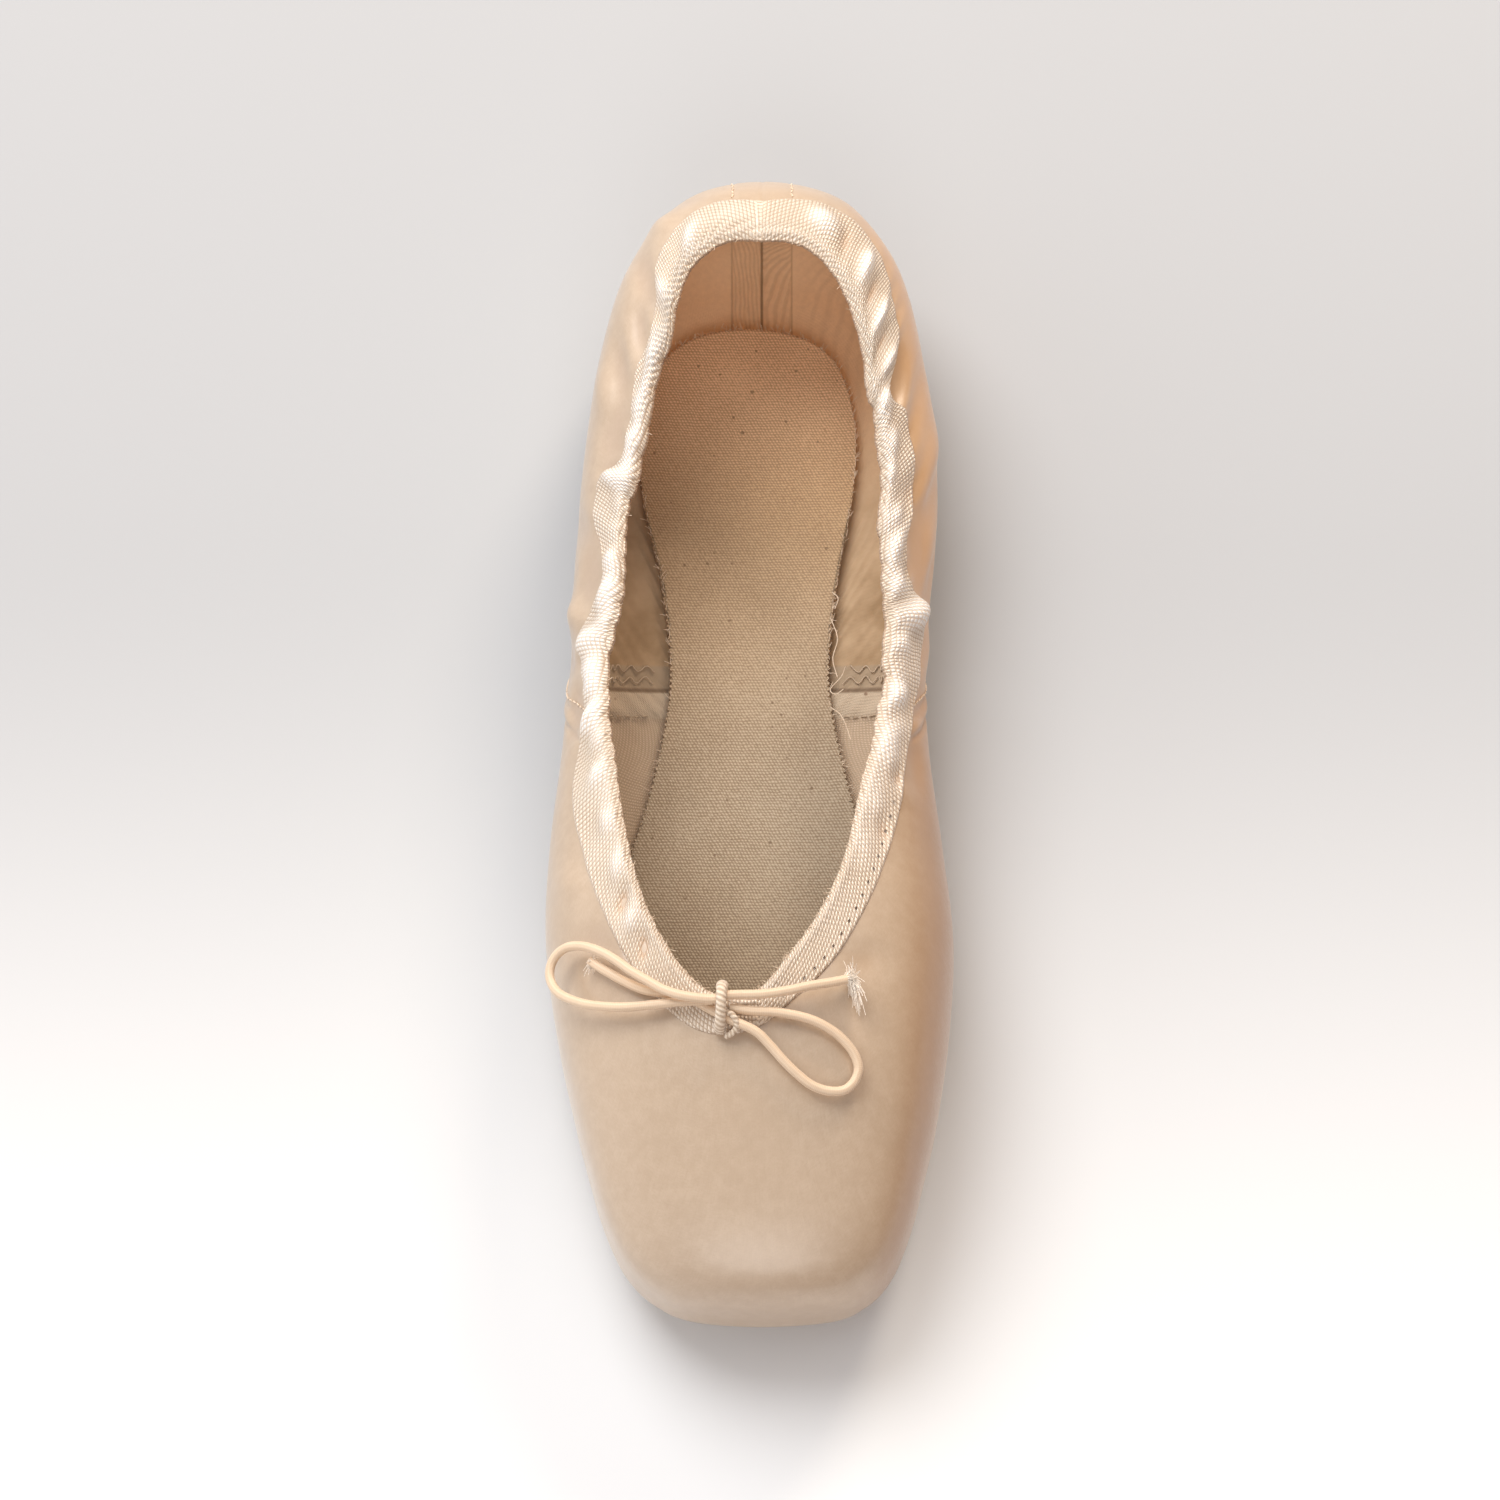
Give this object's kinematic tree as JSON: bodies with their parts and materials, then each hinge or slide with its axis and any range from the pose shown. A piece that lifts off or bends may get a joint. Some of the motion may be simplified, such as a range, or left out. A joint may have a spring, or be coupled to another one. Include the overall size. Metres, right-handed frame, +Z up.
{
  "type": "pointe shoe",
  "caption": "Satin pointe shoe with a hard box and flat platform at the toe, a taped collar with a drawstring bow, a thin leather sole and a canvas insole.",
  "frame": {"origin": "on the floor under the middle of the shoe", "axes": "+Z up, the toe toward -Y and the heel toward +Y, +X to the wearer's left of a shoe worn with its toe forward"},
  "size_m": [0.0837, 0.247, 0.0558],
  "materials": {
    "satin": "soft sheen satin",
    "sole_leather": "matte split leather",
    "canvas": "coarse plain weave",
    "tape": "twill tape",
    "knot_thread": "matte thread",
    "drawstring": "round elastic cord"
  },
  "bodies": {
    "root": {"upper": "satin", "outsole": "sole_leather", "insole": "canvas", "collar_binding": "tape", "drawstring_knot": "knot_thread", "drawstring_left_loop": "drawstring", "drawstring_right_loop": "drawstring", "drawstring_right_end": "drawstring", "drawstring_left_end": "drawstring"}
  },
  "joints": []
}
